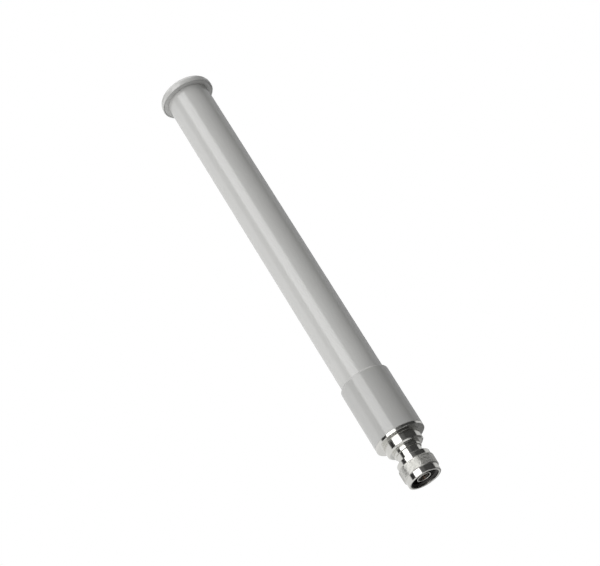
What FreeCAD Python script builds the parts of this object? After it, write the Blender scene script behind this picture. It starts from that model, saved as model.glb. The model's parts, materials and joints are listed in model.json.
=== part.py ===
import FreeCAD, Part
import Sketcher
import math
import operator
import os

# Omnidirectional stick antenna with an integral N-type plug, in millimetres.
# It stands upright: the plug points down, the radome points up along +Z, and the origin is the centre of
# the coupling nut's open front face.

# ---------------------------------------------------------------- driving dimensions
DIMENSIONS = [
    # coupling nut
    ("nut_length", 12.8),
    ("nut_rim_dia", 19.2),
    ("nut_band_dia", 20.6),
    ("nut_front_rim", 3.5),
    ("nut_band_length", 6.25),
    ("nut_edge_bevel", 0.35),
    ("nut_mouth_dia", 16.4),
    ("nut_counterbore", 1.0),
    ("nut_minor_dia", 14.75),
    ("thread_major_dia", 15.875),
    ("thread_pitch", 1.0583),
    ("thread_length", 8.4),
    ("thread_overcut", 0.08),
    ("thread_root_flat", 0.08),
    ("thread_relief_dia", 16.1),
    ("thread_relief_end", 10.5),
    ("nut_guide_dia", 14.3),
    ("nut_groove_dia", 15.5),
    # snap ring and the float it allows
    ("ring_base", 11.37),
    ("ring_thickness", 0.65),
    ("ring_outer_dia", 15.4),
    ("ring_inner_dia", 12.84),
    ("ring_gap", 3.0),
    ("ring_side_play", 0.05),
    ("nut_end_float", 0.8),
    ("float_margin", 0.02),
    # connector shell
    ("shell_face", 10.9),
    ("shell_neck_dia", 14.2),
    ("shell_groove_dia", 12.7),
    ("shell_neck_top", 17.2),
    ("shell_step_dia", 15.8),
    ("shell_step_bevel", 0.3),
    ("shell_step_top", 19.6),
    ("shell_body_dia", 21.2),
    ("shell_body_bevel", 0.8),
    ("shell_body_top", 25.15),
    ("flange_dia", 28.6),
    ("flange_top", 27.05),
    ("flange_bevel", 0.25),
    ("spigot_dia", 18.0),
    ("spigot_top", 29.45),
    ("seal_groove_base", 27.6),
    ("seal_groove_width", 1.3),
    ("seal_groove_dia", 16.0),
    ("tail_dia", 14.0),
    ("tail_top", 50.5),
    ("shell_bore_dia", 10.1),
    ("contact_bore_dia", 8.7),
    ("contact_seat", 13.0),
    # contacts, insulators and gasket inside the plug
    ("contact_front", 1.1),
    ("contact_dia", 8.1),
    ("contact_bore", 7.0),
    ("contact_step", 9.25),
    ("contact_root_dia", 8.6),
    ("contact_collar", 1.4),
    ("contact_lead", 0.22),
    ("stack_dia", 10.0),
    ("bead_length", 5.0),
    ("front_bead_base", 9.25),
    ("front_bead_length", 2.0),
    ("front_bead_dia", 6.94),
    ("pin_tip", 2.45),
    ("pin_tip_dia", 1.6),
    ("pin_step", 6.65),
    ("pin_dia", 3.04),
    ("pin_hole_dia", 3.1),
    ("pin_top", 21.2),
    ("pin_bevel", 0.2),
    ("pin_cup_dia", 1.02),
    ("pin_cup_depth", 4.0),
    ("gasket_base", 9.9),
    ("gasket_outer_dia", 13.8),
    ("gasket_inner_dia", 8.7),
    # cable ferrule stack
    ("ferrule_cavity_dia", 5.2),
    ("ferrule_cavity_top", 23.0),
    ("ferrule_shoulder", 30.0),
    ("ferrule_neck_dia", 5.2),
    ("ferrule_top", 56.0),
    ("ferrule_ring_length", 4.0),
    # feed cable
    ("cable_dia", 3.6),
    ("dielectric_dia", 2.98),
    ("dielectric_stub", 1.0),
    ("core_dia", 0.92),
    ("cable_top", 104.0),
    ("dielectric_top", 105.0),
    ("core_top", 110.0),
    ("running_gap", 0.03),
    ("shrink_wall", 0.45),
    ("shrink_base", 50.8),
    ("shrink_top", 64.0),
    # choke sleeve over the cable
    ("choke_dia", 8.0),
    ("choke_wall", 0.4),
    ("choke_base", 66.0),
    ("choke_top", 96.0),
    ("choke_roof", 0.8),
    ("choke_spacer_recess", 0.3),
    ("choke_spacer_length", 2.0),
    ("choke_support_base", 78.0),
    ("choke_support_length", 6.0),
    # radome, base sleeve and what closes the bottom
    ("tube_dia", 25.4),
    ("tube_bore", 22.0),
    ("tube_top", 279.0),
    ("sleeve_dia", 28.6),
    ("sleeve_top", 65.15),
    ("sleeve_floor", 2.5),
    ("sleeve_bore", 25.5),
    ("sleeve_hole", 18.1),
    ("sleeve_edge_round", 1.0),
    ("bush_dia", 21.9),
    ("bush_bore", 14.2),
    ("bush_length", 14.4),
    ("bush_flute_dia", 3.0),
    ("bush_flute_count", 4),
    ("bush_groove_height", 6.4),
    ("bush_groove_width", 1.4),
    ("bush_groove_dia", 19.8),
    ("washer_dia", 19.2),
    ("washer_thickness", 0.8),
    ("washer_notch", 1.2),
    ("washer_notch_count", 12),
    ("lock_nut_flats", 18.0),
    ("lock_nut_length", 4.5),
    ("shell_seal_cord", 1.0),
    ("bush_seal_cord", 1.06),
    # radiating board
    ("board_width", 16.0),
    ("board_thickness", 1.0),
    ("board_base", 99.0),
    ("board_top", 273.0),
    ("board_face", 0.55),
    ("board_notch_width", 3.8),
    ("board_notch_top", 105.5),
    ("copper_thickness", 0.07),
    ("feed_line_width", 2.4),
    ("feed_line_base", 106.5),
    ("arm_width", 11.0),
    ("arm_length", 24.0),
    ("arm_gap", 1.0),
    ("first_dipole", 133.0),
    ("dipole_pitch", 56.0),
    ("dipole_count", 3),
    ("ground_pad_base", 100.5),
    ("ground_pad_width", 7.0),
    ("braid_solder_dia", 6.4),
    ("braid_solder_length", 2.5),
    ("core_solder_dia", 2.2),
    ("core_solder_length", 2.2),
    ("solder_setback", 0.4),
    # foam parts
    ("foam_dia", 21.8),
    ("foam_length", 6.0),
    ("foam_slot_gap", 0.1),
    ("lower_foam", 118.0),
    ("middle_foam", 172.0),
    ("upper_foam", 228.0),
    ("cushion_dia", 18.4),
    ("cushion_base", 273.2),
    ("cushion_length", 5.6),
    # top cap
    ("collar_base", 276.0),
    ("collar_dia", 30.6),
    ("collar_bevel", 0.8),
    ("cap_dia", 32.2),
    ("cap_skirt_bore", 30.9),
    ("cap_top", 281.7),
    ("cap_edge_round", 4.2),
    ("cap_seat_dia", 29.0),
    ("cap_seat_bevel", 0.4),
    ("cap_gasket_dia", 28.2),
    ("cap_gasket_bore", 22.2),
    ("cap_gasket_thickness", 0.6),
    ("cap_plug_dia", 21.8),
    ("cap_plug_bore", 18.6),
    ("cap_plug_base", 266.0),
]

doc = FreeCAD.newDocument("omni_antenna")
sheet = doc.addObject("Spreadsheet::Sheet", "dims")
for row, (alias, number) in enumerate(DIMENSIONS, start=1):
    sheet.set(f"A{row}", alias)
    sheet.set(f"B{row}", str(number))
    sheet.setAlias(f"B{row}", alias)
doc.recompute()


class Size:
    """A length that carries its number and the sheet expression that drives it."""

    def __init__(self, value, text):
        self.value = value
        self.text = text

    def __add__(self, other):
        return combined(self, operator.add, "+", other)

    def __sub__(self, other):
        return combined(self, operator.sub, "-", other)

    def __mul__(self, other):
        return combined(self, operator.mul, "*", other)

    def __truediv__(self, other):
        return combined(self, operator.truediv, "/", other)

    def __neg__(self):
        return combined(ZERO, operator.sub, "-", self)


def as_size(number):
    return number if isinstance(number, Size) else Size(float(number), repr(float(number)))


def combined(left, work_out, sign, right):
    right = as_size(right)
    return Size(work_out(left.value, right.value), f"({left.text} {sign} {right.text})")


def dim(alias):
    return Size(float(getattr(sheet, alias)), f"dims.{alias}")


def half(alias):
    return dim(alias) / 2


ZERO = as_size(0)


# ---------------------------------------------------------------- sketches and features
def origin_plane(body, role):
    return next(f for f in body.Origin.OriginFeatures if f.Role == role)


def bind_point(sketch, index, x, y):
    """Hold a line's start point at x, y, which may be sheet sizes."""
    for kind, size in (("DistanceX", as_size(x)), ("DistanceY", as_size(y))):
        number = sketch.addConstraint(Sketcher.Constraint(kind, -1, 1, index, 1, size.value))
        sketch.setExpression(f"Constraints[{number}]", size.text)


def add_outline(sketch, points):
    """Add one closed outline of straight lines through the points."""
    first = sketch.GeometryCount
    corners = [FreeCAD.Vector(as_size(x).value, as_size(y).value, 0) for x, y in points]
    count = len(corners)
    for i, corner in enumerate(corners):
        sketch.addGeometry(Part.LineSegment(corner, corners[(i + 1) % count]), False)
    for i in range(count):
        following = first + (i + 1) % count
        sketch.addConstraint(Sketcher.Constraint("Coincident", first + i, 2, following, 1))
    for i, (x, y) in enumerate(points):
        bind_point(sketch, first + i, x, y)


def add_circle(sketch, x, y, radius):
    """Add a circle, with its centre and radius bound to the sheet."""
    x, y, radius = as_size(x), as_size(y), as_size(radius)
    centre = FreeCAD.Vector(x.value, y.value, 0)
    index = sketch.addGeometry(Part.Circle(centre, FreeCAD.Vector(0, 0, 1), radius.value), False)
    for kind, size in (("DistanceX", x), ("DistanceY", y)):
        number = sketch.addConstraint(Sketcher.Constraint(kind, -1, 1, index, 3, size.value))
        sketch.setExpression(f"Constraints[{number}]", size.text)
    number = sketch.addConstraint(Sketcher.Constraint("Radius", index, radius.value))
    sketch.setExpression(f"Constraints[{number}]", radius.text)


def rectangle(left, right, low, high):
    return [(left, low), (right, low), (right, high), (left, high)]


def new_sketch(body, role, name, offset=ZERO):
    """A sketch on one of the body's own origin planes, moved out along the plane's normal by offset."""
    sketch = body.newObject("Sketcher::SketchObject", name)
    sketch.AttachmentSupport = [(origin_plane(body, role), "")]
    sketch.MapMode = "FlatFace"
    sketch.AttachmentOffset = FreeCAD.Placement(FreeCAD.Vector(0, 0, offset.value), FreeCAD.Rotation())
    sketch.setExpression("AttachmentOffset.Base.z", offset.text)
    return sketch


def new_body(name, level=ZERO):
    """An empty body that stands at a height of level."""
    body = doc.addObject("PartDesign::Body", name)
    body.Label = name
    body.Placement = FreeCAD.Placement(FreeCAD.Vector(0, 0, level.value), FreeCAD.Rotation())
    body.setExpression("Placement.Base.z", level.text)
    return body


def turn(body, points, name="turned", cut=False):
    """Revolve an outline of radius, height points about the body's own axis."""
    sketch = new_sketch(body, "XZ_Plane", f"{body.Name}_{name}_outline")
    add_outline(sketch, points)
    kind = "PartDesign::Groove" if cut else "PartDesign::Revolution"
    feature = body.newObject(kind, f"{body.Name}_{name}")
    feature.Profile = sketch
    feature.ReferenceAxis = (sketch, ["V_Axis"])
    feature.Angle = 360
    doc.recompute()
    return feature


def extrude(body, sketch, length, name, cut=False):
    """Pad or pocket a sketch by length along the sketch's normal."""
    feature = body.newObject("PartDesign::Pocket" if cut else "PartDesign::Pad", f"{body.Name}_{name}")
    feature.Profile = sketch
    feature.Length = length.value
    feature.setExpression("Length", length.text)
    feature.Reversed = cut
    doc.recompute()
    return feature


def repeat_round(body, feature, count):
    """Repeat a feature evenly about the body's own axis."""
    pattern = body.newObject("PartDesign::PolarPattern", f"{feature.Name}_pattern")
    pattern.Originals = [feature]
    pattern.Axis = (origin_plane(body, "Z_Axis"), [""])
    pattern.Angle = 360
    pattern.Occurrences = int(count.value)
    pattern.setExpression("Occurrences", count.text)
    body.Tip = pattern
    doc.recompute()
    return pattern


def round_edge(body, base, radius, edge_radius, edge_height):
    """Fillet the one circular edge of that radius at that height."""
    names = [
        f"Edge{number}"
        for number, edge in enumerate(base.Shape.Edges, start=1)
        if isinstance(edge.Curve, Part.Circle)
        and abs(edge.Curve.Radius - edge_radius.value) < 1e-4
        and abs(edge.Curve.Center.z - edge_height.value) < 1e-4
    ]
    fillet = body.newObject("PartDesign::Fillet", f"{body.Name}_round_{len(body.Group)}")
    fillet.Base = (base, names)
    fillet.Radius = radius.value
    fillet.setExpression("Radius", radius.text)
    doc.recompute()
    return fillet


def tube(name, base, top, outer_dia, inner_dia):
    """A plain turned tube, or a disc with a hole, standing from base to top."""
    body = new_body(name, base)
    length = top - base
    turn(body, rectangle(inner_dia / 2, outer_dia / 2, ZERO, length))
    return body


def rod(name, base, top, outer_dia):
    """A plain round rod from base to top."""
    cylinder = doc.addObject("Part::Cylinder", name)
    cylinder.Label = name
    cylinder.setExpression("Radius", (outer_dia / 2).text)
    cylinder.setExpression("Height", (top - base).text)
    cylinder.setExpression("Placement.Base.z", base.text)
    return cylinder


def o_ring(name, height, centre_dia, cord):
    """A round-section seal ring centred at a height."""
    ring = doc.addObject("Part::Torus", name)
    ring.Label = name
    ring.setExpression("Radius1", (centre_dia / 2).text)
    ring.setExpression("Radius2", (cord / 2).text)
    ring.setExpression("Placement.Base.z", height.text)
    return ring


# ---------------------------------------------------------------- coupling nut and its snap ring
def coupling_nut():
    """Knurled nut with a 5/8-24 thread in front and a guide bore with the ring groove behind."""
    bevel = dim("nut_edge_bevel")
    rim = half("nut_rim_dia")
    band = half("nut_band_dia")
    mouth = half("nut_mouth_dia")
    minor = half("nut_minor_dia")
    relief = half("thread_relief_dia")
    guide = half("nut_guide_dia")
    band_base = dim("nut_front_rim")
    band_top = band_base + dim("nut_band_length")
    length = dim("nut_length")
    counterbore = dim("nut_counterbore")
    groove_base = dim("ring_base") - dim("ring_side_play")
    groove_top = dim("ring_base") + dim("ring_thickness") + dim("ring_side_play")
    body = new_body("coupling_nut")
    turn(body, [
        (mouth, ZERO),
        (rim - bevel, ZERO),
        (rim, bevel),
        (rim, band_base),
        (band - bevel, band_base),
        (band, band_base + bevel),
        (band, band_top - bevel),
        (band - bevel, band_top),
        (rim, band_top),
        (rim, length - bevel),
        (rim - bevel, length),
        (guide, length),
        (guide, groove_top),
        (half("nut_groove_dia"), groove_top),
        (half("nut_groove_dia"), groove_base),
        (guide, groove_base),
        (guide, dim("thread_relief_end")),
        (relief, dim("thread_relief_end")),
        (relief, dim("thread_length")),
        (minor, dim("thread_length")),
        (minor, counterbore + mouth - minor),
        (mouth, counterbore),
    ])
    cut_thread(body, minor)
    return body


def cut_thread(body, minor):
    """Cut the 60 degree screw thread, from below the mouth to inside the relief."""
    pitch = dim("thread_pitch")
    tip = half("thread_major_dia")
    root = minor - dim("thread_overcut")
    flat = half("thread_root_flat")
    start = -pitch
    half_width = (tip - root) * math.tan(math.radians(30)) + flat
    sketch = new_sketch(body, "XZ_Plane", "thread_profile")
    add_outline(sketch, [
        (root, start - half_width),
        (tip, start - flat),
        (tip, start + flat),
        (root, start + half_width),
    ])
    doc.recompute()
    thread = body.newObject("PartDesign::SubtractiveHelix", "coupling_thread")
    thread.Profile = sketch
    thread.ReferenceAxis = (sketch, ["V_Axis"])
    thread.Mode = "pitch-height-angle"
    thread.Pitch = pitch.value
    thread.setExpression("Pitch", pitch.text)
    travel = dim("thread_length") + pitch * 1.5
    thread.Height = travel.value
    thread.setExpression("Height", travel.text)
    doc.recompute()


def snap_ring():
    """Open ring that holds the nut on the shell and lets it spin and float a little."""
    body = new_body("snap_ring", dim("ring_base"))
    inner = half("ring_inner_dia")
    outer = half("ring_outer_dia")
    turn(body, rectangle(inner, outer, ZERO, dim("ring_thickness")))
    gap = new_sketch(body, "XY_Plane", "ring_gap_outline")
    add_outline(gap, rectangle(-half("ring_gap"), half("ring_gap"), inner / 2, outer + 1))
    extrude(body, gap, dim("ring_thickness"), "gap", cut=True)
    return body


# ---------------------------------------------------------------- connector shell and plug inside
def connector_shell():
    """Turned shell: neck for the nut, stepped body, flange, sealed spigot and threaded tail.

    The ring groove is wider than the ring, so that the nut, which rests forward, can slide back.
    """
    neck = half("shell_neck_dia")
    groove = half("shell_groove_dia")
    step = half("shell_step_dia")
    core = half("shell_body_dia")
    flange = half("flange_dia")
    spigot = half("spigot_dia")
    seal = half("seal_groove_dia")
    tail = half("tail_dia")
    bore = half("shell_bore_dia")
    contact_bore = half("contact_bore_dia")
    face = dim("shell_face")
    bevel = dim("flange_bevel")
    body_bevel = dim("shell_body_bevel")
    margin = dim("float_margin")
    groove_base = dim("ring_base") - margin
    groove_top = dim("ring_base") + dim("ring_thickness") + dim("nut_end_float") + margin
    step_bevel = dim("shell_step_bevel")
    seal_base = dim("seal_groove_base")
    seal_top = seal_base + dim("seal_groove_width")
    body = new_body("connector_shell")
    turn(body, [
        (contact_bore, face),
        (neck - bevel, face),
        (neck, face + bevel),
        (neck, groove_base),
        (groove, groove_base),
        (groove, groove_top),
        (neck, groove_top),
        (neck, dim("shell_neck_top")),
        (step - step_bevel, dim("shell_neck_top")),
        (step, dim("shell_neck_top") + step_bevel),
        (step, dim("shell_step_top")),
        (core - body_bevel, dim("shell_step_top")),
        (core, dim("shell_step_top") + body_bevel),
        (core, dim("shell_body_top")),
        (flange - bevel, dim("shell_body_top")),
        (flange, dim("shell_body_top") + bevel),
        (flange, dim("flange_top")),
        (spigot, dim("flange_top")),
        (spigot, seal_base),
        (seal, seal_base),
        (seal, seal_top),
        (spigot, seal_top),
        (spigot, dim("spigot_top")),
        (tail, dim("spigot_top")),
        (tail, dim("tail_top") - body_bevel),
        (tail - body_bevel, dim("tail_top")),
        (bore, dim("tail_top")),
        (bore, dim("contact_seat")),
        (contact_bore, dim("contact_seat")),
    ])
    return body


def outer_contact():
    """Thin contact ring at the front, a thicker root, and a collar that seats inside the shell."""
    outer = half("contact_dia")
    inner = half("contact_bore")
    front = dim("contact_front")
    root = half("contact_root_dia")
    step = dim("contact_step") - front
    seat = dim("contact_seat") - front
    lead = dim("contact_lead")
    body = new_body("outer_contact", front)
    turn(body, [
        (inner + lead, ZERO),
        (outer - lead / 2, ZERO),
        (outer, lead / 2),
        (outer, step),
        (root, step),
        (root, seat),
        (half("stack_dia"), seat),
        (half("stack_dia"), seat + dim("contact_collar")),
        (inner, seat + dim("contact_collar")),
        (inner, lead),
    ])
    return body


def centre_pin():
    """Gold pin: slim front end, thicker shank, and a cup behind that takes the cable's core."""
    tip = half("pin_tip_dia")
    shank = half("pin_dia")
    cup = half("pin_cup_dia")
    bevel = dim("pin_bevel")
    step = dim("pin_step") - dim("pin_tip")
    length = dim("pin_top") - dim("pin_tip")
    body = new_body("centre_pin", dim("pin_tip"))
    turn(body, [
        (ZERO, ZERO),
        (tip / 2, ZERO),
        (tip, tip / 2),
        (tip, step),
        (shank - bevel, step),
        (shank, step + bevel),
        (shank, length),
        (cup, length),
        (cup, length - dim("pin_cup_depth")),
        (ZERO, length - dim("pin_cup_depth")),
    ])
    return body


def plug_insulators():
    """The bead inside the contact ring and the bead behind the contact collar."""
    hole = dim("pin_hole_dia")
    front = dim("front_bead_base")
    tube("front_insulator", front, front + dim("front_bead_length"), dim("front_bead_dia"), hole)
    rear = dim("contact_seat") + dim("contact_collar")
    tube("rear_insulator", rear, rear + dim("bead_length"), dim("stack_dia"), hole)


def interface_gasket():
    """Flat silicone ring on the shell's front face, where the mating socket seats."""
    tube("interface_gasket", dim("gasket_base"), dim("shell_face"), dim("gasket_outer_dia"),
         dim("gasket_inner_dia"))


def cable_ferrule():
    """Solder ferrule that locks the cable in the shell, with a thin neck out of the tail."""
    base = dim("contact_seat") + dim("contact_collar") + dim("bead_length")
    hole = half("cable_dia") + dim("running_gap")
    shoulder = dim("ferrule_shoulder") - base
    length = dim("ferrule_top") - base
    cavity = half("ferrule_cavity_dia")
    cavity_top = dim("ferrule_cavity_top") - base
    body = new_body("cable_ferrule", base)
    turn(body, [
        (cavity, ZERO),
        (half("stack_dia"), ZERO),
        (half("stack_dia"), shoulder),
        (half("ferrule_neck_dia"), shoulder),
        (half("ferrule_neck_dia"), length),
        (hole, length),
        (hole, cavity_top),
        (cavity, cavity_top),
    ])
    return body


def ferrule_ring():
    """Ring behind the ferrule's shoulder that clamps the plug's inner stack."""
    base = dim("ferrule_shoulder")
    bore = dim("ferrule_neck_dia") + dim("running_gap") * 2
    tube("ferrule_ring", base, base + dim("ferrule_ring_length"), dim("stack_dia"), bore)


# ---------------------------------------------------------------- feed cable and choke
def feed_cable():
    """Outer conductor, dielectric and core of the feed cable, each longer than the one outside it."""
    gap = dim("running_gap") * 2
    tube("cable_outer", dim("ferrule_cavity_top"), dim("cable_top"), dim("cable_dia"),
         dim("dielectric_dia") + gap)
    tube("cable_dielectric", dim("ferrule_cavity_top") - dim("dielectric_stub"), dim("dielectric_top"),
         dim("dielectric_dia"), dim("core_dia") + gap)
    core_base = dim("pin_top") - dim("pin_cup_depth") + dim("running_gap")
    rod("cable_core", core_base, dim("core_top"), dim("core_dia"))


def heat_shrink():
    """Shrunk tube over the ferrule's neck and the cable behind it."""
    gap = dim("running_gap")
    wall = dim("shrink_wall")
    neck = half("ferrule_neck_dia") + gap
    cable = half("cable_dia") + gap
    step = dim("ferrule_top") - dim("shrink_base") + gap
    length = dim("shrink_top") - dim("shrink_base")
    body = new_body("heat_shrink", dim("shrink_base"))
    turn(body, [
        (neck, ZERO),
        (neck + wall, ZERO),
        (neck + wall, step),
        (cable + wall, step + wall * 2),
        (cable + wall, length),
        (cable, length),
        (cable, step),
        (neck, step),
    ])
    return body


def choke_sleeve():
    """Quarter-wave cup over the cable, closed on top and open below."""
    outer = half("choke_dia")
    inner = outer - dim("choke_wall")
    cable = half("cable_dia") + dim("running_gap")
    length = dim("choke_top") - dim("choke_base")
    roof = length - dim("choke_roof")
    body = new_body("choke_sleeve", dim("choke_base"))
    turn(body, [
        (inner, ZERO),
        (outer, ZERO),
        (outer, length),
        (cable, length),
        (cable, roof),
        (inner, roof),
    ])
    return body


def choke_spacer():
    """Insulating ring that centres the choke's open end on the cable."""
    base = dim("choke_base") + dim("choke_spacer_recess")
    gap = dim("running_gap") * 2
    tube("choke_spacer", base, base + dim("choke_spacer_length"),
         dim("choke_dia") - dim("choke_wall") * 2 - gap, dim("cable_dia") + gap)


def choke_support():
    """Foam disc that centres the choke in the radome."""
    base = dim("choke_support_base")
    gap = dim("running_gap") * 2
    tube("choke_support", base, base + dim("choke_support_length"), dim("foam_dia"),
         dim("choke_dia") + gap)


# ---------------------------------------------------------------- radome, base sleeve and bottom closure
def radome_tube():
    """Long plain tube over the radiator, standing on the base sleeve's floor."""
    floor = dim("flange_top") + dim("sleeve_floor")
    tube("radome_tube", floor, dim("tube_top"), dim("tube_dia"), dim("tube_bore"))


def base_sleeve():
    """Thicker sleeve bonded round the tube's lower end, with a floor that the flange clamps."""
    outer = half("sleeve_dia")
    bore = half("sleeve_bore")
    hole = half("sleeve_hole")
    floor = dim("sleeve_floor")
    length = dim("sleeve_top") - dim("flange_top")
    bevel = dim("flange_bevel")
    body = new_body("base_sleeve", dim("flange_top"))
    base = turn(body, [
        (hole, ZERO),
        (outer - bevel, ZERO),
        (outer, bevel),
        (outer, length),
        (bore, length),
        (bore, floor),
        (hole, floor),
    ])
    round_edge(body, base, dim("sleeve_edge_round"), outer, length)
    return body


def base_bush():
    """Turned plug inside the tube's lower end, with a seal groove and four flutes in its bore."""
    outer = half("bush_dia")
    bore = half("bush_bore")
    groove = half("bush_groove_dia")
    groove_base = dim("bush_groove_height")
    groove_top = groove_base + dim("bush_groove_width")
    length = dim("bush_length")
    body = new_body("base_bush", dim("flange_top") + dim("sleeve_floor"))
    turn(body, [
        (bore, ZERO),
        (outer, ZERO),
        (outer, groove_base),
        (groove, groove_base),
        (groove, groove_top),
        (outer, groove_top),
        (outer, length),
        (bore, length),
    ])
    flute = new_sketch(body, "XY_Plane", "bush_flute_outline")
    add_circle(flute, bore, ZERO, half("bush_flute_dia"))
    cut = extrude(body, flute, length, "flute", cut=True)
    repeat_round(body, cut, dim("bush_flute_count"))
    return body


def seals():
    """The seal between shell and sleeve, and the seal between bush and tube."""
    shell_height = dim("seal_groove_base") + dim("seal_groove_width") / 2
    shell_centre = (dim("seal_groove_dia") + dim("sleeve_hole")) / 2
    o_ring("shell_o_ring", shell_height, shell_centre, dim("shell_seal_cord"))
    bush_base = dim("flange_top") + dim("sleeve_floor") + dim("bush_groove_height")
    bush_centre = (dim("bush_groove_dia") + dim("tube_bore")) / 2
    o_ring("bush_o_ring", bush_base + dim("bush_groove_width") / 2, bush_centre, dim("bush_seal_cord"))


def bush_top():
    return dim("flange_top") + dim("sleeve_floor") + dim("bush_length")


def lock_washer():
    """Internal-tooth washer between the bush and the lock nut."""
    thickness = dim("washer_thickness")
    bore = half("bush_bore")
    notch = dim("washer_notch")
    body = new_body("lock_washer", bush_top())
    turn(body, rectangle(bore, half("washer_dia"), ZERO, thickness))
    tooth_gap = new_sketch(body, "XY_Plane", "washer_notch_outline")
    add_outline(tooth_gap, rectangle(bore - notch, bore + notch, -notch / 2, notch / 2))
    cut = extrude(body, tooth_gap, thickness, "notch", cut=True)
    repeat_round(body, cut, dim("washer_notch_count"))
    return body


def shell_lock_nut():
    """Thin hexagon nut on the shell's tail, with both faces bevelled at the corners."""
    length = dim("lock_nut_length")
    corner = half("lock_nut_flats") / math.cos(math.radians(30))
    body = new_body("shell_lock_nut", bush_top() + dim("washer_thickness"))
    outline = new_sketch(body, "XY_Plane", "lock_nut_outline")
    turns = [math.radians(60 * i) for i in range(6)]
    add_outline(outline, [(corner * math.cos(a), corner * math.sin(a)) for a in turns])
    add_circle(outline, ZERO, ZERO, half("tail_dia") + dim("running_gap"))
    extrude(body, outline, length, "hexagon")
    flat = half("lock_nut_flats")
    drop = (corner - flat) * math.tan(math.radians(30))
    beyond = corner + 1
    fall = (beyond - flat) * math.tan(math.radians(30))
    turn(body, [(flat, ZERO), (beyond, ZERO), (beyond, fall)], "lower_bevel", cut=True)
    turn(body, [(flat, length), (beyond, length - fall), (beyond, length)], "upper_bevel", cut=True)
    return body


# ---------------------------------------------------------------- radiating board
def board_back():
    return -dim("board_face") - dim("board_thickness")


def facing_sketch(body, name, depth):
    """A sketch parallel to the board, at y = depth, with x across and z up."""
    return new_sketch(body, "XZ_Plane", name, -depth)


def radiator_board():
    """Long glass-fibre board with a notch in its lower end for the cable."""
    body = new_body("radiator_board")
    outline = facing_sketch(body, "board_outline", -dim("board_face"))
    side = half("board_width")
    notch = half("board_notch_width")
    low = dim("board_base")
    high = dim("board_top")
    add_outline(outline, [
        (-side, low),
        (-notch, low),
        (-notch, dim("board_notch_top")),
        (notch, dim("board_notch_top")),
        (notch, low),
        (side, low),
        (side, high),
        (-side, high),
    ])
    extrude(body, outline, dim("board_thickness"), "plate")
    return body


def copper_layer(name, depth, foot, direction):
    """One connected copper pattern: a foot outline, the feed line above it, and one arm per dipole.

    direction is +1 where the arms point up from each dipole's centre and -1 where they point down.
    """
    body = new_body(name)
    line_half = half("feed_line_width")
    arm_half = half("arm_width")
    last = dim("first_dipole") + dim("dipole_pitch") * (dim("dipole_count") - 1)
    line_top = last + dim("arm_gap") * 2
    line = facing_sketch(body, f"{name}_line_outline", depth)
    add_outline(line, foot + [(line_half, line_top), (-line_half, line_top)])
    extrude(body, line, dim("copper_thickness"), "line")
    near = dim("first_dipole") + dim("arm_gap") * direction
    far = near + dim("arm_length") * direction
    low, high = (near, far) if direction > 0 else (far, near)
    arm = facing_sketch(body, f"{name}_arm_outline", depth)
    add_outline(arm, rectangle(-arm_half, arm_half, low, high))
    arm_pad = extrude(body, arm, dim("copper_thickness"), "arm")
    repeat_up(body, arm_pad, dim("dipole_pitch"), dim("dipole_count"))
    return body


def front_copper():
    """Feed line and upper arms on the board's front."""
    line_half = half("feed_line_width")
    foot = [(-line_half, dim("feed_line_base")), (line_half, dim("feed_line_base"))]
    copper_layer("front_copper", -dim("board_face") + dim("copper_thickness"), foot, 1)


def back_copper():
    """Ground fork beside the cable's notch, ground line and lower arms on the board's back."""
    line_half = half("feed_line_width")
    notch = half("board_notch_width")
    pad = half("ground_pad_width")
    low = dim("ground_pad_base")
    crotch = dim("board_notch_top")
    shoulder = dim("feed_line_base")
    foot = [
        (-line_half, shoulder),
        (-pad, shoulder),
        (-pad, low),
        (-notch, low),
        (-notch, crotch),
        (notch, crotch),
        (notch, low),
        (pad, low),
        (pad, shoulder),
        (line_half, shoulder),
    ]
    copper_layer("back_copper", board_back(), foot, -1)


def repeat_up(body, feature, pitch, count):
    """Repeat a feature upwards at a pitch."""
    pattern = body.newObject("PartDesign::LinearPattern", f"{feature.Name}_pattern")
    pattern.Originals = [feature]
    pattern.Direction = (origin_plane(body, "Z_Axis"), [""])
    span = pitch * (count - 1)
    pattern.Length = span.value
    pattern.setExpression("Length", span.text)
    pattern.Occurrences = int(count.value)
    pattern.setExpression("Occurrences", count.text)
    body.Tip = pattern
    doc.recompute()
    return pattern


def cut_away(name, whole, *parts):
    """Take each of the parts away from the whole in turn, and name the last result."""
    result = whole
    for number, part in enumerate(parts):
        cut = doc.addObject("Part::Cut", name if part is parts[-1] else f"{name}_{number}")
        cut.Base = result
        cut.Tool = part
        result = cut
    result.Label = name
    return result


def helper_box(name, low, high):
    """A box between two corners of sheet sizes, used as a tool."""
    box = doc.addObject("Part::Box", name)
    for side, axis, start, end in zip(("Length", "Width", "Height"), "xyz", low, high):
        box.setExpression(side, (as_size(end) - start).text)
        box.setExpression(f"Placement.Base.{axis}", as_size(start).text)
    return box


def solder_joints():
    """Solder bead from core to front copper, and solder half-collar from braid to back copper."""
    setback = dim("solder_setback")
    room = dim("braid_solder_dia")
    front = -dim("board_face") + dim("copper_thickness")
    core_high = dim("core_top") - setback
    core_low = core_high - dim("core_solder_length")
    bead = rod("core_bead", core_low, core_high, dim("core_solder_dia"))
    core = rod("core_bead_hole", core_low - 1, core_high + 1, dim("core_dia"))
    behind = helper_box("core_bead_back", (-room, -room, core_low - 1), (room, front, core_high + 1))
    cut_away("core_solder", bead, core, behind)
    back = board_back() - dim("copper_thickness")
    braid_high = dim("cable_top") - setback
    braid_low = braid_high - dim("braid_solder_length")
    collar = rod("braid_collar", braid_low, braid_high, dim("braid_solder_dia"))
    cable = rod("braid_collar_hole", braid_low - 1, braid_high + 1, dim("cable_dia"))
    ahead = helper_box("braid_collar_front", (-room, back, braid_low - 1), (room, room, braid_high + 1))
    cut_away("braid_solder", collar, cable, ahead)


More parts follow.
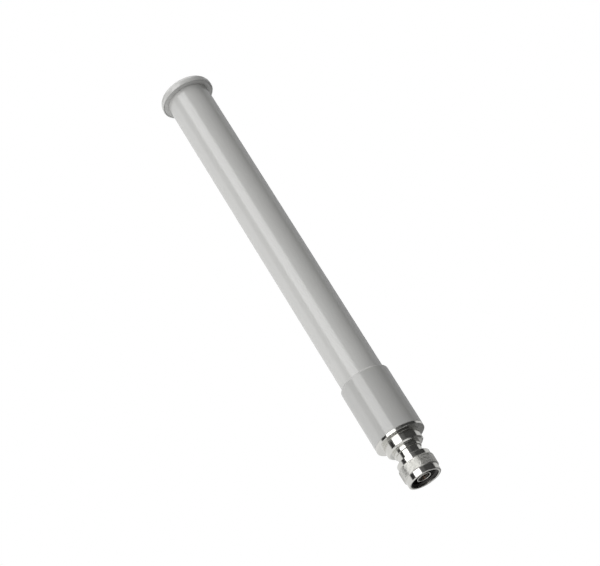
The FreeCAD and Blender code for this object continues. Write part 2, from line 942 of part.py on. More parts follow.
def foam_spacer(name, base):
    """Foam disc with a slot that holds the board in the middle of the radome."""
    length = dim("foam_length")
    gap = dim("foam_slot_gap") + dim("copper_thickness")
    side = half("board_width") + dim("foam_slot_gap")
    body = new_body(name, base)
    disc = new_sketch(body, "XY_Plane", f"{name}_disc_outline")
    add_circle(disc, ZERO, ZERO, half("foam_dia"))
    add_outline(disc, rectangle(-side, side, board_back() - gap, -dim("board_face") + gap))
    extrude(body, disc, length, "disc")
    return body


# ---------------------------------------------------------------- top cap
def cap_collar():
    """Ring bonded round the tube's upper end, which the cap's skirt closes over."""
    bevel = dim("collar_bevel")
    outer = half("collar_dia")
    bore = half("tube_dia") + dim("running_gap")
    length = dim("tube_top") - dim("collar_base")
    body = new_body("cap_collar", dim("collar_base"))
    turn(body, [
        (bore, ZERO),
        (outer, ZERO),
        (outer, length - bevel),
        (outer - bevel, length),
        (bore, length),
    ])
    return body


def top_cap():
    """Round-edged cap with a skirt over the collar and a ribbed plug inside the tube."""
    outer = half("cap_dia")
    skirt = half("cap_skirt_bore")
    seat = half("cap_seat_dia")
    plug = half("cap_plug_dia")
    hollow = half("cap_plug_bore")
    top = dim("cap_top") - dim("collar_base")
    plug_base = dim("cap_plug_base") - dim("collar_base")
    roof = dim("tube_top") + dim("cap_gasket_thickness") - dim("collar_base")
    skirt_top = dim("tube_top") - dim("collar_base") - dim("collar_bevel") + dim("running_gap")
    body = new_body("top_cap", dim("collar_base"))
    base = turn(body, [
        (ZERO, roof),
        (hollow, roof),
        (hollow, plug_base),
        (plug, plug_base),
        (plug, roof),
        (seat, roof),
        (seat, roof - dim("cap_seat_bevel")),
        (skirt, skirt_top),
        (skirt, ZERO),
        (outer, ZERO),
        (outer, top),
        (ZERO, top),
    ])
    round_edge(body, base, dim("cap_edge_round"), outer, top)
    return body


def cap_gasket():
    """Flat ring between the cap's roof and the ends of tube and collar."""
    base = dim("tube_top")
    tube("cap_gasket", base, base + dim("cap_gasket_thickness"), dim("cap_gasket_dia"),
         dim("cap_gasket_bore"))


def tip_cushion():
    """Foam disc inside the cap's plug that holds the board's upper end."""
    rod("tip_cushion", dim("cushion_base"), dim("cushion_base") + dim("cushion_length"),
        dim("cushion_dia"))


# ---------------------------------------------------------------- assembly
coupling_nut()
snap_ring()
connector_shell()
outer_contact()
centre_pin()
plug_insulators()
interface_gasket()
cable_ferrule()
ferrule_ring()
feed_cable()
heat_shrink()
choke_sleeve()
choke_spacer()
choke_support()
radome_tube()
base_sleeve()
base_bush()
seals()
lock_washer()
shell_lock_nut()
radiator_board()
front_copper()
back_copper()
solder_joints()
foam_spacer("lower_spacer", dim("lower_foam"))
foam_spacer("middle_spacer", dim("middle_foam"))
foam_spacer("upper_spacer", dim("upper_foam"))
cap_collar()
top_cap()
cap_gasket()
tip_cushion()
doc.recompute()

NODES = [
    "coupling_nut",
    "snap_ring",
    "connector_shell",
    "outer_contact",
    "centre_pin",
    "front_insulator",
    "rear_insulator",
    "interface_gasket",
    "cable_ferrule",
    "ferrule_ring",
    "cable_outer",
    "cable_dielectric",
    "cable_core",
    "heat_shrink",
    "choke_sleeve",
    "choke_spacer",
    "choke_support",
    "radome_tube",
    "base_sleeve",
    "base_bush",
    "shell_o_ring",
    "bush_o_ring",
    "lock_washer",
    "shell_lock_nut",
    "radiator_board",
    "front_copper",
    "back_copper",
    "core_solder",
    "braid_solder",
    "lower_spacer",
    "middle_spacer",
    "upper_spacer",
    "cap_collar",
    "top_cap",
    "cap_gasket",
    "tip_cushion",
]

for item in doc.Objects:
    if "Invalid" in item.State or "Error" in item.State:
        raise RuntimeError(f"{item.Name} did not recompute: {item.State}")
pieces = [doc.getObjectsByLabel(node)[0] for node in NODES]
for piece in pieces:
    if piece.Shape.isNull() or not piece.Shape.isValid():
        raise RuntimeError(f"{piece.Label} has no valid shape")
    if len(piece.Shape.Solids) != 1:
        raise RuntimeError(f"{piece.Label} has {len(piece.Shape.Solids)} solids")

os.makedirs("parts", exist_ok=True)
for piece in pieces:
    piece.Shape.exportStep(f"parts/{piece.Label}.step")
    print(f"{piece.Label}: {piece.Shape.Volume:.2f} mm3")
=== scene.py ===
import json
import math

import bpy
from mathutils import Matrix, Vector


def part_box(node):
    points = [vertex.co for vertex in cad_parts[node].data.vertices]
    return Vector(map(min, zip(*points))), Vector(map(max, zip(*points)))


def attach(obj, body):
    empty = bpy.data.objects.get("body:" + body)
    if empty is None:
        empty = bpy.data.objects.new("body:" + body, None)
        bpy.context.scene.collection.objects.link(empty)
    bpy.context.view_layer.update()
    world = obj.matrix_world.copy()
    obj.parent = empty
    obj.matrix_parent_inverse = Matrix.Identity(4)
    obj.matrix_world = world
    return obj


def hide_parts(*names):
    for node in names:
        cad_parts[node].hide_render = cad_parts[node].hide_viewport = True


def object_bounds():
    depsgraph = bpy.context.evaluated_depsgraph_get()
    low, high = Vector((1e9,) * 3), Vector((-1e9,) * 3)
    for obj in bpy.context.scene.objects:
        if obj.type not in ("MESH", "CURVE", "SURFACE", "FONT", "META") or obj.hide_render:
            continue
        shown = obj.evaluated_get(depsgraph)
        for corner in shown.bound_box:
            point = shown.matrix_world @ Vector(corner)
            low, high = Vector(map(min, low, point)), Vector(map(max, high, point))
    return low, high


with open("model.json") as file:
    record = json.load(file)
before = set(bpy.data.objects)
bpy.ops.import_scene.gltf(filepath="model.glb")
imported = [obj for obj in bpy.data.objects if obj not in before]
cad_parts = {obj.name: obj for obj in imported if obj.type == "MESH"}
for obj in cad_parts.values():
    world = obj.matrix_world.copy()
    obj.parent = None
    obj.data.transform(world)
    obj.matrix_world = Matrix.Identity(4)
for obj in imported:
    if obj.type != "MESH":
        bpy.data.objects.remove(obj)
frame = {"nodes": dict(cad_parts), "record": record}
cad_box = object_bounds()

MM = 0.001
FULL_TURN = 2 * math.pi

# ---------------------------------------------------------------- mesh helpers


def corner_arc(before, corner, after, radius, steps):
    """Points of the arc that rounds one corner of an outline, between its two tangent points."""
    to_before = (before - corner).normalized()
    to_after = (after - corner).normalized()
    half_angle = to_before.angle(to_after) / 2
    reach = radius / math.tan(half_angle)
    centre = corner + (to_before + to_after).normalized() * (radius / math.sin(half_angle))
    start = corner + to_before * reach - centre
    end = corner + to_after * reach - centre
    sweep = start.angle(end)
    points = []
    for i in range(steps + 1):
        share = i / steps
        near = math.sin((1 - share) * sweep) / math.sin(sweep)
        far = math.sin(share * sweep) / math.sin(sweep)
        points.append(centre + start * near + end * far)
    return points


def rounded_outline(outline):
    """Turn (radius, height) or (radius, height, rounding) entries into a closed list of points."""
    arc_steps = 6
    corners = [Vector((entry[0], entry[1])) for entry in outline]
    count = len(corners)
    points = []
    for i, entry in enumerate(outline):
        rounding = entry[2] if len(entry) > 2 else 0
        if rounding:
            before, after = corners[i - 1], corners[(i + 1) % count]
            points += corner_arc(before, corners[i], after, rounding, arc_steps)
        else:
            points.append(corners[i])
    return points


def split_low(vertices, face):
    """Split a four-sided face along the diagonal nearer the axis, so that grooves stay straight."""
    a, b, c, d = face
    reach = [math.hypot(vertices[i][0], vertices[i][1]) for i in face]
    if reach[0] + reach[2] < reach[1] + reach[3]:
        return [[a, b, c], [a, c, d]]
    return [[a, b, d], [b, c, d]]


def ring_mesh(name, rings, columns, split_rings=range(0)):
    """Join rings of vertices, in millimetres, into a closed skin; a ring of one is a pole on the axis."""
    vertices = [co for ring in rings for co in ring]
    starts = [0]
    for ring in rings:
        starts.append(starts[-1] + len(ring))
    faces = []
    closed = len(rings[0]) > 1
    last = len(rings) if closed else len(rings) - 1
    for i in range(last):
        j = (i + 1) % len(rings)
        for k in range(columns):
            following = (k + 1) % columns
            low = [starts[i] + k, starts[i] + following] if len(rings[i]) > 1 else [starts[i]]
            high = [starts[j] + following, starts[j] + k] if len(rings[j]) > 1 else [starts[j]]
            if i in split_rings:
                faces += split_low(vertices, low + high)
            else:
                faces.append(low + high)
    mesh = bpy.data.meshes.new(name)
    mesh.from_pydata([[c * MM for c in co] for co in vertices], [], faces)
    mesh.validate()
    mesh.update()
    return mesh


def turned_rings(points, columns):
    """One ring of vertices for each outline point, or one pole vertex where the radius is zero."""
    rings = []
    for radius, height in points:
        if radius < 1e-6:
            rings.append([(0, 0, height)])
            continue
        angles = [FULL_TURN * k / columns for k in range(columns)]
        rings.append([(radius * math.cos(a), radius * math.sin(a), height) for a in angles])
    return rings


def finish_piece(name, mesh, body, node, material, sharp_angle=30):
    """Make the object, shade it smooth with crisp corners, and put it in place of its CAD node."""
    piece = bpy.data.objects.new(name, mesh)
    bpy.context.scene.collection.objects.link(piece)
    for polygon in mesh.polygons:
        polygon.use_smooth = True
    mesh.set_sharp_from_angle(angle=math.radians(sharp_angle))
    weighted = piece.modifiers.new("even_normals", "WEIGHTED_NORMAL")
    weighted.keep_sharp = True
    mesh.materials.append(material)
    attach(piece, body)
    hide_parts(node)


def lathe(name, outline, body, node, material, columns):
    """A turned piece: a closed outline of radius and height in millimetres, swept about Z."""
    mesh = ring_mesh(name, turned_rings(rounded_outline(outline), columns), columns)
    finish_piece(name, mesh, body, node, material)


def extent(node):
    """Outer radius, lowest and highest height of a CAD node, in millimetres."""
    low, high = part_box(node)
    return high.x / MM, low.z / MM, high.z / MM


# ---------------------------------------------------------------- node helpers


def add(tree, kind, *values, **settings):
    """Add a node; values fill its inputs in order, as sockets or numbers."""
    made = tree.nodes.new(kind)
    for key, value in settings.items():
        setattr(made, key, value)
    for socket, value in zip(made.inputs, values):
        if isinstance(value, bpy.types.NodeSocket):
            tree.links.new(value, socket)
        else:
            socket.default_value = value
    return made


def calc(tree, operation, *values):
    """One sum on numbers or sockets."""
    return add(tree, "ShaderNodeMath", *values, operation=operation).outputs[0]


def rescale(tree, value, low, high, from_low=0.3, from_high=0.7):
    """Map a value to a range and stop at its ends; noise mostly lies between 0.3 and 0.7."""
    return add(tree, "ShaderNodeMapRange", value, from_low, from_high, low, high).outputs[0]


def noise(tree, vector, scale, detail):
    """Smooth noise of a point; scale is in waves per metre."""
    made = add(tree, "ShaderNodeTexNoise")
    tree.links.new(vector, made.inputs["Vector"])
    made.inputs["Scale"].default_value = scale
    made.inputs["Detail"].default_value = detail
    return made.outputs["Fac"]


def object_point(tree):
    """The shaded point in the piece's own frame, in metres."""
    return add(tree, "ShaderNodeTexCoord").outputs["Object"]


def stretched(tree, vector, x, y, z):
    """The point scaled by a factor along each axis, so that a noise on it becomes streaks."""
    return add(tree, "ShaderNodeVectorMath", vector, (x, y, z), operation="MULTIPLY").outputs[0]


def ring_point(tree, vector):
    """Radius and height as a point, so that a noise on it is turned rings about Z."""
    split = add(tree, "ShaderNodeSeparateXYZ", vector)
    flat = add(tree, "ShaderNodeCombineXYZ", split.outputs[0], split.outputs[1], 0.0)
    radius = add(tree, "ShaderNodeVectorMath", flat.outputs[0], operation="LENGTH").outputs["Value"]
    return add(tree, "ShaderNodeCombineXYZ", radius, 0.0, split.outputs[2]).outputs[0]


def tinted(tree, value, colour, spread):
    """The colour made slightly darker or lighter by a noise value."""
    shade = rescale(tree, value, 1 - spread, 1 + spread)
    scaled = add(tree, "ShaderNodeVectorMath", tuple(colour), operation="SCALE")
    tree.links.new(shade, scaled.inputs["Scale"])
    return scaled.outputs[0]


def bumped(tree, height, strength, distance, under=None):
    """A normal bumped by a height; distance is in metres, and under is a normal to build on."""
    made = add(tree, "ShaderNodeBump", strength, distance)
    tree.links.new(height, made.inputs["Height"])
    if under is not None:
        tree.links.new(under, made.inputs["Normal"])
    return made.outputs[0]


def surface(name, **inputs):
    """A new material with a Principled shader; returns the material, its node tree and the shader."""
    material = bpy.data.materials.new(name)
    material.use_nodes = True
    tree = material.node_tree
    shader = tree.nodes["Principled BSDF"]
    for label, value in inputs.items():
        shader.inputs[label.replace("_", " ")].default_value = value
    return material, tree, shader


def wire(tree, shader, **sockets):
    """Link sockets to the shader's inputs, named with underscores for spaces."""
    for label, socket in sockets.items():
        tree.links.new(socket, shader.inputs[label.replace("_", " ")])


# ---------------------------------------------------------------- materials


def shell_plastic(name, colour, roughness, grain_scale=2200, streaks=False):
    """Satin grey plastic: fine grain, faint mottling, and lengthwise streaks where it is extruded."""
    material, tree, shader = surface(name, IOR=1.58)
    point = object_point(tree)
    mottle = noise(tree, point, scale=45, detail=3)
    grain = noise(tree, point, scale=grain_scale, detail=2)
    normal = bumped(tree, grain, strength=0.06, distance=0.00004)
    if streaks:
        lines = noise(tree, stretched(tree, point, 1, 1, 0.01), scale=1400, detail=2)
        normal = bumped(tree, lines, strength=0.03, distance=0.00004, under=normal)
    polish = noise(tree, point, scale=160, detail=2)
    wire(tree, shader, Base_Color=tinted(tree, mottle, colour, spread=0.015), Normal=normal,
         Roughness=rescale(tree, polish, roughness - 0.03, roughness + 0.03))
    return material


def turned_metal(name, colour, low_roughness, high_roughness):
    """Plated metal with fine turning marks round the axis, which stretch each highlight across them."""
    material, tree, shader = surface(name, Metallic=1.0, Anisotropic=0.8, Anisotropic_Rotation=0.25)
    point = object_point(tree)
    rings = noise(tree, ring_point(tree, point), scale=5000, detail=2)
    smudge = noise(tree, point, scale=140, detail=3)
    roughness = rescale(tree, smudge, low_roughness, high_roughness)
    tangent = add(tree, "ShaderNodeTangent", direction_type="RADIAL", axis="Z").outputs[0]
    wire(tree, shader, Base_Color=tinted(tree, smudge, colour, spread=0.03), Roughness=roughness,
         Normal=bumped(tree, rings, strength=0.22, distance=0.000012), Tangent=tangent)
    return material


def soft_rubber(name, colour):
    """Matte elastomer with a fine moulded texture and a trace of bloom."""
    material, tree, shader = surface(name, IOR=1.42, Sheen_Weight=0.15)
    point = object_point(tree)
    bloom = noise(tree, point, scale=400, detail=3)
    matte = noise(tree, point, scale=900, detail=2)
    texture = noise(tree, point, scale=5000, detail=2)
    wire(tree, shader, Base_Color=tinted(tree, bloom, colour, spread=0.12),
         Roughness=rescale(tree, matte, 0.5, 0.65),
         Normal=bumped(tree, texture, strength=0.2, distance=0.00004))
    return material


def waxy_plastic(name, colour, roughness):
    """Turned, slightly translucent white plastic with faint tool rings."""
    material, tree, shader = surface(name, IOR=1.4, Subsurface_Weight=0.1)
    shader.inputs["Subsurface Scale"].default_value = 0.0005
    point = object_point(tree)
    rings = noise(tree, ring_point(tree, point), scale=3500, detail=1)
    cloud = noise(tree, point, scale=300, detail=2)
    wire(tree, shader, Base_Color=tinted(tree, cloud, colour, spread=0.03),
         Roughness=rescale(tree, rings, roughness - 0.06, roughness + 0.06),
         Normal=bumped(tree, rings, strength=0.1, distance=0.00002))
    return material


def foam(name, colour):
    """Closed-cell foam: round cells as a bump and a little colour change between them."""
    material, tree, shader = surface(name, Roughness=0.85, Sheen_Weight=0.2)
    point = object_point(tree)
    cells = add(tree, "ShaderNodeTexVoronoi", point)
    cells.inputs["Scale"].default_value = 1300
    depth = cells.outputs["Distance"]
    wire(tree, shader, Base_Color=tinted(tree, depth, colour, spread=0.06),
         Normal=bumped(tree, depth, strength=0.5, distance=0.0002))
    return material


def circuit_board(name, colour):
    """Solder-masked glass cloth: the weave shows as a small square ripple."""
    material, tree, shader = surface(name, Roughness=0.35, Coat_Weight=0.3)
    point = object_point(tree)
    waves = []
    for direction in ("X", "Z"):
        wave = add(tree, "ShaderNodeTexWave", point, bands_direction=direction)
        wave.inputs["Scale"].default_value = 700
        waves.append(wave.outputs["Fac"])
    weave = calc(tree, "MULTIPLY", *waves)
    wire(tree, shader, Base_Color=tinted(tree, weave, colour, spread=0.12),
         Normal=bumped(tree, weave, strength=0.15, distance=0.00003))
    return material


# ---------------------------------------------------------------- visible pieces


def sleeve_outline():
    """Base sleeve: rounded top edge, small lower bevel, and a floor with the shell's hole."""
    radius, low, high = extent("base_sleeve")
    glue_gap, floor, hole = 0.05, 2.5, 9.05
    bore = extent("radome_tube")[0] + glue_gap
    return [
        (hole, low),
        (radius, low, 0.3),
        (radius, high, 1.25),
        (bore, high, 0.25),
        (bore, low + floor),
        (hole, low + floor),
    ]


def tube_outline():
    """Radome tube, open at both ends."""
    radius, low, high = extent("radome_tube")
    bore = 11.0
    return [(bore, low), (radius, low), (radius, high), (bore, high)]


def collar_outline():
    """Collar round the tube's upper end, with its outer edges rounded."""
    radius, low, high = extent("cap_collar")
    glue_gap = 0.03
    bore = extent("radome_tube")[0] + glue_gap
    return [(bore, low, 0.1), (radius, low, 0.2), (radius, high, 0.8), (bore, high)]


def cap_outline():
    """Top cap: broad rounded edge, thin skirt over the collar, and a hollow plug inside the tube."""
    radius, plug_low, high = extent("top_cap")
    _, low, collar_high = extent("cap_collar")
    skirt, seat, plug, hollow = 15.45, 14.5, 10.9, 9.3
    roof, seat_slope = collar_high + 0.6, 1.4
    return [
        (0, roof),
        (hollow, roof),
        (hollow, plug_low, 0.3),
        (plug, plug_low, 0.5),
        (plug, roof),
        (seat, roof),
        (skirt, roof - seat_slope),
        (skirt, low, 0.12),
        (radius, low, 0.25),
        (radius, high, 4.2),
        (0, high),
    ]


def shell_outline():
    """Connector shell from its front face round the outside and back down its bore."""
    flange, face, tail_top = extent("connector_shell")
    sleeve_low = extent("base_sleeve")[1]
    _, ring_low, ring_high = extent("snap_ring")
    neck, step, core = 7.1, 7.9, 10.6
    neck_top, step_top, core_top = sleeve_low - 9.85, sleeve_low - 7.45, sleeve_low - 1.9
    groove, margin, end_float = 6.35, 0.02, 0.8
    bevel, spigot_length = 0.8, 2.4
    spigot, tail, bore, contact_bore, seat = 9.0, 7.0, 5.05, 4.35, face + 2.1
    underside_rise = 0.3
    return [
        (contact_bore, face, 0.1),
        (neck, face, 0.2),
        (neck, ring_low - margin),
        (groove, ring_low - margin),
        (groove, ring_high + end_float + margin),
        (neck, ring_high + end_float + margin),
        (neck, neck_top, 0.25),
        (step, neck_top, 0.35),
        (step, step_top, 0.15),
        (core - bevel, step_top, 0.15),
        (core, step_top + bevel, 0.25),
        (core, core_top, 0.12),
        (flange, core_top + underside_rise, 0.3),
        (flange, sleeve_low, 0.1),
        (spigot, sleeve_low),
        (spigot, sleeve_low + spigot_length),
        (tail, sleeve_low + spigot_length),
        (tail, tail_top, 0.6),
        (bore, tail_top),
        (bore, seat),
        (contact_bore, seat),
    ]


def contact_outline():
    """Outer contact: thin front ring with eased edges, thicker root, and the collar inside the shell."""
    collar, front, back = extent("outer_contact")
    outer, inner, root = 4.05, 3.5, 4.3
    ring_length, collar_length = 8.15, 1.4
    return [
        (inner, front, 0.15),
        (outer, front, 0.2),
        (outer, front + ring_length),
        (root, front + ring_length),
        (root, back - collar_length),
        (collar, back - collar_length),
        (collar, back),
        (inner, back),
    ]


def pin_outline():
    """Centre pin: round-nosed slim end, shank, and the solder cup behind."""
    shank, tip, back = extent("centre_pin")
    slim, cup, cup_depth = 0.8, 0.51, 4
    step = tip + 4.2
    return [
        (0, tip),
        (slim, tip, 0.62),
        (slim, step, 0.12),
        (shank, step, 0.3),
        (shank, back, 0.1),
        (cup, back),
        (cup, back - cup_depth),
        (0, back - cup_depth),
    ]


def gasket_outline():
    """Interface gasket: a soft ring round the contact, with eased front edges."""
    outer, low, high = extent("interface_gasket")
    inner = 4.35
    return [(inner, low, 0.3), (outer, low, 0.4), (outer, high, 0.1), (inner, high, 0.1)]


def diamond_height(column, row, samples):
    """Height, 0 to 1, of a diamond knurl at a lattice point: a domed pad between two sets of grooves."""
    falling = ((column + row) % samples) / samples
    rising = ((column - row) % samples) / samples
    edge = min(falling, 1 - falling, rising, 1 - rising)
    groove_side = 5.2 * edge
    dome = 1 - 3 * (0.5 - edge) ** 2
    return min(groove_side, dome)


def thread_height(share):
    """Depth, 0 to 1, of a 60 degree thread with flats at its crest and root, for a share of the pitch."""
    flank_slope, flat = 1.25, 0.125
    return min(max(abs(2 * share - 1) * flank_slope - flat, 0), 1)


def knurled_ring(columns, samples, row, radius, depth, height):
    """One ring of the knurled band."""
    ring = []
    for k in range(columns):
        angle = FULL_TURN * k / columns
        reach = radius - depth * (1 - diamond_height(k, row, samples))
        ring.append((reach * math.cos(angle), reach * math.sin(angle), height))
    return ring


def threaded_ring(columns, minor, major, pitch, fade, height):
    """One ring of the inside thread, which fades out at its ends."""
    ring = []
    for k in range(columns):
        share = (height / pitch - k / columns) % 1
        angle = FULL_TURN * k / columns
        reach = minor + (major - minor) * fade * thread_height(share)
        ring.append((reach * math.cos(angle), reach * math.sin(angle), height))
    return ring


def coupling_nut(outside, inside):
    """Knurled nut with its screw thread, as rings of vertices round one closed loop."""
    band, low, high = extent("coupling_nut")
    samples, diamonds = 10, 78
    columns = samples * diamonds
    rim_step = 0.7
    rim = band - rim_step
    mouth, counterbore, minor, major = 8.2, 1.0, 7.375, 7.9375
    pitch = 25.4 / 24
    thread_low, thread_high = counterbore + mouth - minor, 8.4
    relief, relief_top, guide = 8.05, 10.5, 7.15
    groove, groove_low, groove_top = 7.75, 11.32, 12.07
    band_low, band_high, bevel, depth = 3.5, 9.75, 0.3, 0.14
    outline_front = [
        (mouth, low + counterbore),
        (mouth, low, 0.12),
        (rim, low, 0.35),
        (rim, band_low, 0.1),
        (band - bevel, band_low),
        (band - depth, band_low + bevel),
    ]
    outline_back = [
        (band - bevel, band_high),
        (rim, band_high, 0.1),
        (rim, high, 0.35),
        (guide, high, 0.15),
        (guide, groove_top),
        (groove, groove_top),
        (groove, groove_low),
        (guide, groove_low),
        (guide, relief_top),
        (relief, relief_top),
        (relief, thread_high),
        (minor, thread_high),
    ]
    rings = turned_rings(rounded_outline(outline_front)[1:-1], columns)
    knurl_start = len(rings)
    knurl_low = band_low + bevel
    knurl_length = band_high - bevel - knurl_low
    rows = round(knurl_length / (band * FULL_TURN / columns))
    for row in range(rows + 1):
        height = knurl_low + knurl_length * row / rows
        rings.append(knurled_ring(columns, samples, row, band, depth, height))
    knurl_end = len(rings) - 1
    rings += turned_rings(rounded_outline(outline_back)[:-1], columns)
    rows_per_turn, fading_rows = 10, 4
    steps = round((thread_high - thread_low) / pitch * rows_per_turn)
    for step in range(steps + 1):
        height = thread_high - (thread_high - thread_low) * step / steps
        fade = min(step, steps - step, fading_rows) / fading_rows
        rings.append(threaded_ring(columns, minor, major, pitch, fade, height))
    rings += turned_rings([(mouth, low + counterbore)], columns)
    mesh = ring_mesh("coupling_nut_knurled", rings, columns, range(knurl_start, knurl_end))
    finish_piece("coupling_nut_knurled", mesh, "nut", "coupling_nut", outside,
                 sharp_angle=25)
    # the lead-in, the thread and the relief behind it are rougher than the outside and painted near black,
    # as painted shade for the nut's dark inside
    mesh.materials.append(inside)
    for polygon in mesh.polygons:
        centre = polygon.center
        if math.hypot(centre.x, centre.y) < relief * MM and centre.z < groove_low * MM:
            polygon.material_index = 1


def build_visible_pieces(looks):
    """The pieces that show from outside, each in place of its CAD node."""
    turned = [
        # piece, outline, CAD node, material slot, look, columns
        ("base_sleeve_moulded", sleeve_outline(), "base_sleeve", "sleeve_grey", "sleeve", 192),
        ("radome_tube_extruded", tube_outline(), "radome_tube", "radome_grey", "tube", 192),
        ("cap_collar_moulded", collar_outline(), "cap_collar", "cap_grey", "cap", 192),
        ("top_cap_moulded", cap_outline(), "top_cap", "cap_grey", "cap", 192),
        ("connector_shell_turned", shell_outline(), "connector_shell", "nickel_plate", "nickel", 192),
        ("outer_contact_turned", contact_outline(), "outer_contact", "nickel_contact", "contact", 128),
        ("centre_pin_turned", pin_outline(), "centre_pin", "gold_plate", "gold", 64),
        ("interface_gasket_moulded", gasket_outline(), "interface_gasket", "red_silicone", "red", 128),
    ]
    for piece, outline, node, slot, look, columns in turned:
        lathe(piece, outline, "antenna", node, looks[look], columns)
    coupling_nut(looks["nickel"], looks["thread"])


def dress_cad_nodes(looks):
    """Give every CAD node a procedural material for what it is made of."""
    by_slot = {
        "radome_grey": "tube",
        "sleeve_grey": "sleeve",
        "cap_grey": "cap",
        "nickel_plate": "nickel",
        "nickel_contact": "contact",
        "spring_steel": "steel",
        "gold_plate": "gold",
        "brass": "brass",
        "tinned_copper": "tin",
        "copper": "copper",
        "red_silicone": "red",
        "black_rubber": "black",
        "white_ptfe": "white",
        "natural_acetal": "acetal",
        "circuit_board": "board",
        "foam": "foam",
    }
    slots = {entry["node"]: entry["material_slot"] for entry in frame["record"]["subparts"]}
    for name, node in frame["nodes"].items():
        node.data.materials.clear()
        node.data.materials.append(looks[by_slot[slots[name]]])


def make_looks():
    """All materials by short name."""
    grey = (0.585, 0.585, 0.570)
    darker_grey = [0.85 * channel for channel in grey]
    return {
        "tube": shell_plastic("tube_plastic", grey, roughness=0.16, grain_scale=2600, streaks=True),
        "sleeve": shell_plastic("sleeve_plastic", darker_grey, roughness=0.13),
        "cap": shell_plastic("cap_plastic", grey, roughness=0.18),
        "nickel": turned_metal("bright_nickel", (0.70, 0.695, 0.665), 0.16, 0.22),
        # near-black metal for the nut's inside: painted shade where little light gets in
        "thread": turned_metal("thread_painted_shade", (0.06, 0.057, 0.056), 0.30, 0.40),
        "contact": turned_metal("contact_nickel", (0.62, 0.61, 0.58), 0.18, 0.26),
        "steel": turned_metal("spring_steel_finish", (0.50, 0.50, 0.50), 0.25, 0.4),
        "gold": turned_metal("gold_finish", (0.42, 0.24, 0.17), 0.2, 0.3),
        "brass": turned_metal("brass_finish", (0.75, 0.58, 0.28), 0.2, 0.32),
        "tin": turned_metal("tin_finish", (0.62, 0.62, 0.60), 0.35, 0.5),
        "copper": turned_metal("copper_finish", (0.80, 0.42, 0.26), 0.3, 0.45),
        "red": soft_rubber("red_silicone_finish", (0.30, 0.025, 0.02)),
        "black": soft_rubber("black_rubber_finish", (0.02, 0.02, 0.02)),
        "white": waxy_plastic("white_bead_finish", (0.80, 0.79, 0.75), 0.45),
        "acetal": waxy_plastic("acetal_finish", (0.76, 0.75, 0.70), 0.38),
        "board": circuit_board("board_finish", (0.03, 0.16, 0.06)),
        "foam": foam("foam_finish", (0.75, 0.75, 0.72)),
    }


# ---------------------------------------------------------------- light, floor and camera


def band_light(tree, azimuth, elevation, centre, half_width, low, high, edge, strength):
    """Radiance of one soft-edged light: a patch of sky round a centre azimuth and between two elevations.

    All angles are in degrees. Azimuth 0 is the camera's side, and azimuths grow to the camera's right.
    The edge is how far each side takes to fade.
    """
    turned = calc(tree, "SUBTRACT", azimuth, centre)
    wrapped = calc(tree, "WRAP", turned, 180.0, -180.0)
    aside = calc(tree, "ABSOLUTE", wrapped)
    across = rescale(tree, aside, 1.0, 0.0, half_width - edge / 2, half_width + edge / 2)
    above = rescale(tree, elevation, 0.0, 1.0, low - edge / 2, low + edge / 2)
    below = rescale(tree, elevation, 1.0, 0.0, high - edge / 2, high + edge / 2)
    patch = calc(tree, "MULTIPLY", calc(tree, "MULTIPLY", across, above), below)
    return calc(tree, "MULTIPLY", patch, strength)


def studio_light():
    """World: pure white to the camera, and a studio of soft panels and dark gaps to everything else."""
    world = bpy.data.worlds.new("studio")
    bpy.context.scene.world = world
    world.use_nodes = True
    tree = world.node_tree
    tree.nodes.clear()
    direction = add(tree, "ShaderNodeTexCoord").outputs["Generated"]
    split = add(tree, "ShaderNodeSeparateXYZ", direction)
    towards = calc(tree, "MULTIPLY", split.outputs[1], -1.0)
    azimuth = calc(tree, "DEGREES", calc(tree, "ARCTAN2", split.outputs[0], towards))
    elevation = calc(tree, "DEGREES", calc(tree, "ARCSINE", split.outputs[2]))
    panels = [
        # centre, half width, low, high, edge, strength
        (-127, 53, -70, 42, 5, 0.85),     # broad light on the left and behind
        (-20, 22, -20, 55, 5, 2.9),       # key light in front, left of the camera
        (-58, 16, -50, -12, 10, 0.40),    # low fill on the left
        (16, 14, -8, 42, 5, 0.10),        # faint shoulder of the key light
        (61, 31, -8, 42, 6, 0.03),        # the right side, nearly dark
        (133, 27, -8, 42, 8, 0.65),       # strip on the right and behind
        (138, 42, -50, -8, 8, 0.10),      # low fill on the right
        (47, 45, 42, 75, 10, 0.12),       # high fill on the right
        (0, 181, -96, -60, 10, 1.0),      # all of the sky straight below
        (0, 181, 58, 96, 10, 1.30),       # all of the sky straight above
    ]
    dim_room = 0.03
    total = dim_room
    for panel in panels:
        total = calc(tree, "ADD", total, band_light(tree, azimuth, elevation, *panel))
    studio = add(tree, "ShaderNodeBackground", (1, 1, 1, 1))
    tree.links.new(total, studio.inputs["Strength"])
    plain = add(tree, "ShaderNodeBackground", (1, 1, 1, 1), 1.0)
    is_camera = add(tree, "ShaderNodeLightPath").outputs["Is Camera Ray"]
    mixed = add(tree, "ShaderNodeMixShader", is_camera, studio.outputs[0], plain.outputs[0])
    output = add(tree, "ShaderNodeOutputWorld")
    tree.links.new(mixed.outputs[0], output.inputs[0])


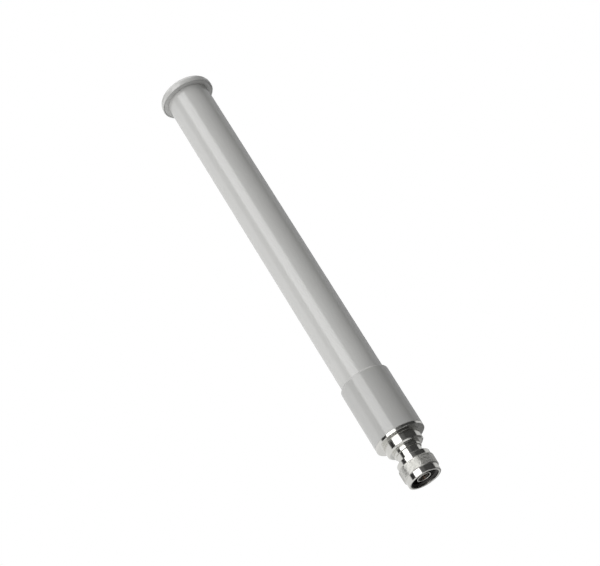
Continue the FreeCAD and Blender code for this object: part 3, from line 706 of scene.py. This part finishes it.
def pale_floor():
    """Wide pale floor under the plug that fades into the backdrop, and is clear when seen from below."""
    radius, sides, drop = 1.6, 96, 0.4 * MM
    mesh = bpy.data.meshes.new("floor")
    angles = [FULL_TURN * k / sides for k in range(sides)]
    mesh.from_pydata([(radius * math.cos(a), radius * math.sin(a), 0) for a in angles], [], [range(sides)])
    floor = bpy.data.objects.new("floor", mesh)
    bpy.context.scene.collection.objects.link(floor)
    floor.location.z = cad_box[0].z - drop
    # the floor neither lights the antenna nor shades it
    floor.visible_diffuse = False
    floor.visible_glossy = False
    floor.visible_shadow = False
    material = bpy.data.materials.new("pale_floor")
    material.use_nodes = True
    tree = material.node_tree
    tree.nodes.clear()
    point = object_point(tree)
    flat = stretched(tree, point, 1, 1, 0)
    distance = add(tree, "ShaderNodeVectorMath", flat, operation="LENGTH").outputs["Value"]
    fade_start, fade_end = 0.35, 1.4
    fade = rescale(tree, distance, 0.0, 1.0, fade_start, fade_end)
    from_below = add(tree, "ShaderNodeNewGeometry").outputs["Backfacing"]
    hidden = calc(tree, "MAXIMUM", fade, from_below)
    paint = add(tree, "ShaderNodeBsdfDiffuse")
    pale = tinted(tree, noise(tree, point, scale=60, detail=3), (0.9, 0.9, 0.89), spread=0.01)
    tree.links.new(pale, paint.inputs[0])
    clear = add(tree, "ShaderNodeBsdfTransparent")
    mixed = add(tree, "ShaderNodeMixShader", hidden, paint.outputs[0], clear.outputs[0])
    output = add(tree, "ShaderNodeOutputMaterial")
    tree.links.new(mixed.outputs[0], output.inputs[0])
    mesh.materials.append(material)


def place_camera():
    """A long lens a metre away, looking up at the plug end, rolled so the antenna leans to the left."""
    elevation, roll = math.radians(-27.0), math.radians(-31.93)
    distance = 1.0
    aim = Vector((0, 0, 0.133))
    # small shifts of the camera across and up the frame, in metres
    across, along = -0.0020, 0.0006
    back = Vector((0, -math.cos(elevation), math.sin(elevation)))
    level = Vector((1, 0, 0))
    upright = back.cross(level)
    right = level * math.cos(roll) + upright * math.sin(roll)
    up = upright * math.cos(roll) - level * math.sin(roll)
    place = aim + back * distance + right * across + up * along
    camera = bpy.data.objects.new("camera", bpy.data.cameras.new("camera"))
    camera.data.lens = 109.2
    camera.data.sensor_width = 36
    camera.data.clip_start, camera.data.clip_end = 0.01, 20
    axes = Matrix((right, up, back)).transposed()
    camera.matrix_world = Matrix.Translation(place) @ axes.to_4x4()
    bpy.context.scene.collection.objects.link(camera)
    bpy.context.scene.camera = camera


looks = make_looks()
dress_cad_nodes(looks)
build_visible_pieces(looks)
studio_light()
pale_floor()
place_camera()
bpy.context.scene.view_settings.view_transform = "Standard"
